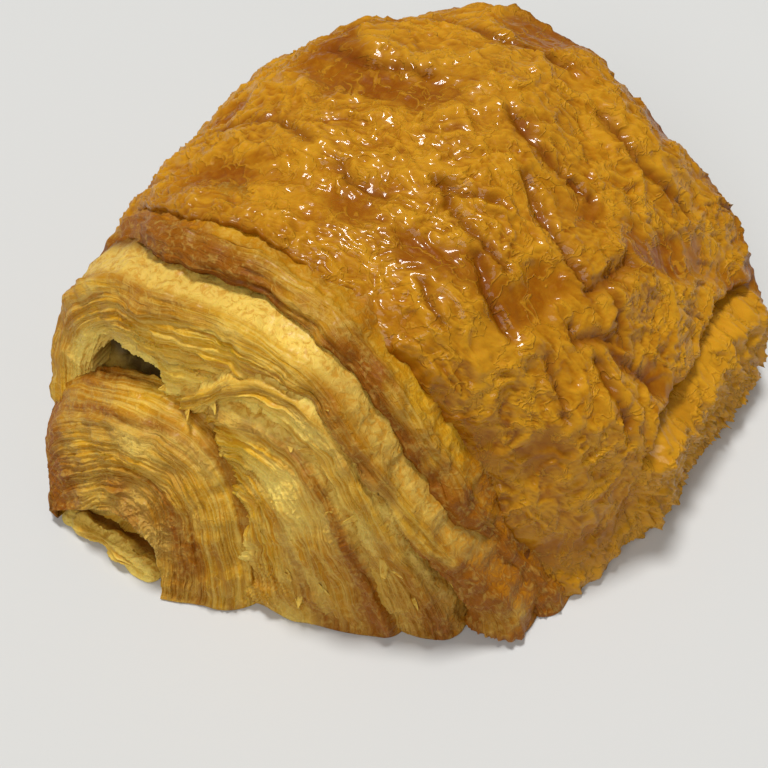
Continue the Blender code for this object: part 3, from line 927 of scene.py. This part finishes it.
def chocolate_material(colour):
    finish, tree, shader = new_material("dark_chocolate")
    places = node(tree, "ShaderNodeTexCoord").outputs["Object"]
    bloom = noise_texture(tree, places, 350.0, 4.0)
    base = mix(tree, ramp(tree, bloom, 0.45, 0.8), colour, tuple(value * 2.2 for value in colour))
    rough = calculate(tree, "ADD", calculate(tree, "MULTIPLY", bloom, 0.3), 0.3)
    connect(tree, shader, {"Base Color": base, "Roughness": rough, "Normal": bump(tree, bloom, 0.4, 0.0005)})
    return finish


def floor_material(colour):
    finish, tree, shader = new_material("pale_floor")
    connect(tree, shader, {"Base Color": (*colour, 1.0), "Roughness": 0.85})
    return finish


# ---------------------------------------------------------------- sizes and colours

def colour_property(name, text, value):
    return bpy.props.FloatVectorProperty(name=name, description=text, subtype="COLOR", size=3,
                                         default=value, min=0.0, max=1.0)


def length_property(name, text, value):
    return bpy.props.FloatProperty(name=name, description=text, subtype="DISTANCE", unit="LENGTH",
                                   default=value, min=0.0, precision=5)


class CroissantCrust(bpy.types.PropertyGroup):
    """The glazed outer sheet."""
    columns: bpy.props.IntProperty(name="Columns", description="Points round the roll", default=400)
    rows: bpy.props.IntProperty(name="Rows", description="Points along the roll", default=195)
    thickness: length_property("Thickness", "Thickness of the crust", 0.0011)
    deep: colour_property("Pooled glaze", "Where the glaze lies thick", (0.235, 0.060, 0.0003))
    amber: colour_property("Amber", "The crust's main colour", (0.365, 0.122, 0.0005))
    pale: colour_property("Crests", "Thin skin on the wrinkles", (0.60, 0.285, 0.012))
    # Colour of the painted shade in the creases and the seam's groove, and of the darker cut rims.
    crease_shade_and_rim: colour_property("Scorched", "Creases and cut rims", (0.17, 0.036, 0.001))


class CroissantDough(bpy.types.PropertyGroup):
    """The crumb and the turns at the cut ends."""
    voxel: length_property("Grain", "Grid of the crumb's mesh", 0.0008)
    depth: length_property("Set back", "How far the crumb lies behind the crust", 0.0048)
    columns: bpy.props.IntProperty(name="Columns", description="Points along a turn", default=440)
    rows: bpy.props.IntProperty(name="Rows", description="Points across a turn's face", default=96)
    cream: colour_property("Cream", "Pale dough", (0.93, 0.70, 0.16))
    golden: colour_property("Golden", "Lightly baked dough", (0.74, 0.395, 0.013))
    amber: colour_property("Amber", "Well baked dough", (0.52, 0.21, 0.004))
    # Brown also carries painted shade low on the turns and in the groove under the lip.
    brown: colour_property("Brown", "Rims of the turns", (0.29, 0.090, 0.0015))
    # Colour of the painted shade behind the turns' rims and along their insides.
    gap: colour_property("Gap", "Deep between the turns", (0.13, 0.034, 0.001))
    # Colour of the painted shade in the crumb's holes and deep inside the tunnel.
    hollow: colour_property("Hollow", "Moist pits in the crumb", (0.075, 0.036, 0.002))


class CroissantChocolate(bpy.types.PropertyGroup):
    """The chocolate sticks."""
    colour: colour_property("Chocolate", "Dark chocolate", (0.030, 0.014, 0.008))


class CroissantStage(bpy.types.PropertyGroup):
    """Floor, lights and camera."""
    floor: colour_property("Floor", "The plain floor", (0.60, 0.60, 0.585))
    distance: length_property("Distance", "From the camera to the roll's front", 0.2)
    target: bpy.props.FloatVectorProperty(name="Target", description="What the camera looks at",
                                          subtype="TRANSLATION", default=(0.0017, -0.0173, 0.0178))
    azimuth: bpy.props.FloatProperty(name="Azimuth", description="Turn to the right of the near end",
                                     subtype="ANGLE", default=math.radians(30))
    elevation: bpy.props.FloatProperty(name="Elevation", description="Height above the floor",
                                       subtype="ANGLE", default=math.radians(50))
    view_angle: bpy.props.FloatProperty(name="View angle", description="Width of the view",
                                        subtype="ANGLE", default=math.radians(30))


# ---------------------------------------------------------------- operators

class CROISSANT_OT_crumb(bpy.types.Operator):
    """Make the crumb inside the roll"""
    bl_idname = "croissant.crumb"
    bl_label = "Crumb"

    def execute(self, context):
        dough = context.scene.croissant_dough
        piece = make_crumb(dough.voxel, dough.depth)
        finish_piece(piece, crumb_material((dough.cream, dough.golden, dough.hollow)))
        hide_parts("pastry")
        return {"FINISHED"}


class CROISSANT_OT_crust(bpy.types.Operator):
    """Make the glazed crust of the outer turn"""
    bl_idname = "croissant.crust"
    bl_label = "Glazed crust"

    def execute(self, context):
        crust = context.scene.croissant_crust
        crease_group()
        piece = make_crust(crust.columns, crust.rows, crust.thickness / MM)
        finish = glaze_material((crust.deep, crust.amber, crust.pale, crust.crease_shade_and_rim))
        finish_piece(piece, finish)
        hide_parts("pastry")
        return {"FINISHED"}


class CROISSANT_OT_turns(bpy.types.Operator):
    """Make the turns of dough that show at both cut ends"""
    bl_idname = "croissant.turns"
    bl_label = "Turns"

    def execute(self, context):
        dough = context.scene.croissant_dough
        lamination_group()
        finish = dough_material((dough.cream, dough.golden, dough.amber, dough.brown, dough.gap))
        for name in TURNS:
            piece = make_turns(name, dough.columns, dough.rows)
            finish_piece(piece, finish)
            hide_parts("pastry")
        return {"FINISHED"}


class CROISSANT_OT_flakes(bpy.types.Operator):
    """Scatter loose flakes over the near cut end"""
    bl_idname = "croissant.flakes"
    bl_label = "Loose flakes"

    def execute(self, context):
        piece = make_flakes(301)
        finish_piece(piece, bpy.data.materials["layered_dough"])
        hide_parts("pastry")
        return {"FINISHED"}


STICK_SINKS, STICK_BACK = 7.6, 3.5          # the upper stick's near end, down and back in its hollow


class CROISSANT_OT_sticks(bpy.types.Operator):
    """Make the two chocolate sticks"""
    bl_idname = "croissant.sticks"
    bl_label = "Chocolate sticks"

    def execute(self, context):
        finish = chocolate_material(tuple(context.scene.croissant_chocolate.colour))
        for name in ("chocolate_stick_upper", "chocolate_stick_lower"):
            piece = cad_copy(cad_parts[name], name + "_melted")
            apply_modifier(piece, "REMESH", mode="VOXEL", voxel_size=0.0006)
            apply_modifier(piece, "SMOOTH", factor=0.5, iterations=4)
            places, normals = vertex_places(piece), vertex_normals(piece)
            lumps = layered_noise(places * 0.35, 7, 3)
            places = places + normals * (0.4 * lumps)[:, None]
            if name == "chocolate_stick_upper":
                places[:, 2] -= STICK_SINKS * smoothstep(0, -30, places[:, 1])
                places[:, 1] += STICK_BACK * smoothstep(-10, -44, places[:, 1])
            move_vertices(piece, places)
            finish_piece(piece, finish)
            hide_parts(name)
        return {"FINISHED"}


# Name, place it shines from, angular size in degrees and strength
LIGHTS = (("key", (-0.12, 0.10, 0.80), 12, 2.45),
          ("fill", (0.10, -0.60, 0.60), 34, 1.12))


class CROISSANT_OT_stage(bpy.types.Operator):
    """Make the floor, the lights and the camera"""
    bl_idname = "croissant.stage"
    bl_label = "Stage"

    def execute(self, context):
        stage = context.scene.croissant_stage
        deselect_all()
        bpy.ops.mesh.primitive_plane_add(size=30.0)
        floor = context.object
        floor.name = floor.data.name = "floor"
        floor.data.materials.append(floor_material(tuple(stage.floor)))
        world = bpy.data.worlds.new("studio")
        context.scene.world = world
        world.use_nodes = True
        connect(world.node_tree, world.node_tree.nodes["Background"],
                {"Color": (1.0, 0.99, 0.97, 1.0), "Strength": 0.20})
        for name, place, width, power in LIGHTS:
            bpy.ops.object.light_add(type="SUN", location=place)
            lamp = context.object
            lamp.name = lamp.data.name = name
            lamp.data.angle = math.radians(width)
            lamp.data.energy = power
            lamp.rotation_euler = (-lamp.location).to_track_quat("-Z", "Y").to_euler()
        bpy.ops.object.camera_add()
        camera = context.object
        camera.name = "camera"
        camera.rotation_euler = (math.radians(90) - stage.elevation, 0.0, stage.azimuth)
        back = camera.rotation_euler.to_matrix().col[2]
        camera.location = [place + stage.distance * step for place, step in zip(stage.target, back)]
        camera.data.angle = stage.view_angle
        camera.data.clip_start = 0.005
        context.scene.camera = camera
        context.scene.view_settings.view_transform = "Standard"
        return {"FINISHED"}


class CROISSANT_PT_panel(bpy.types.Panel):
    """The steps that make the croissant"""
    bl_idname = "CROISSANT_PT_panel"
    bl_label = "Croissant"
    bl_space_type = "VIEW_3D"
    bl_region_type = "UI"
    bl_category = "Croissant"

    def draw(self, context):
        for group, _, steps in GROUPS:
            box = self.layout.box()
            values = getattr(context.scene, group)
            for name in values.bl_rna.properties.keys():
                if name not in {"rna_type", "name"}:
                    box.prop(values, name)
            for step in steps:
                box.operator(step.bl_idname)


GROUPS = [("croissant_dough", CroissantDough,
           (CROISSANT_OT_crumb, CROISSANT_OT_turns, CROISSANT_OT_flakes)),
          ("croissant_crust", CroissantCrust, (CROISSANT_OT_crust,)),
          ("croissant_chocolate", CroissantChocolate, (CROISSANT_OT_sticks,)),
          ("croissant_stage", CroissantStage, (CROISSANT_OT_stage,))]


def register():
    for group, kind, steps in GROUPS:
        bpy.utils.register_class(kind)
        setattr(bpy.types.Scene, group, bpy.props.PointerProperty(type=kind))
        for step in steps:
            bpy.utils.register_class(step)
    bpy.utils.register_class(CROISSANT_PT_panel)


def unregister():
    bpy.utils.unregister_class(CROISSANT_PT_panel)
    for group, kind, steps in reversed(GROUPS):
        for step in steps:
            bpy.utils.unregister_class(step)
        delattr(bpy.types.Scene, group)
        bpy.utils.unregister_class(kind)


def main():
    register()
    bpy.ops.croissant.crumb()
    bpy.ops.croissant.crust()
    bpy.ops.croissant.turns()
    bpy.ops.croissant.flakes()
    bpy.ops.croissant.sticks()
    bpy.ops.croissant.stage()


if __name__ == "__main__":
    main()
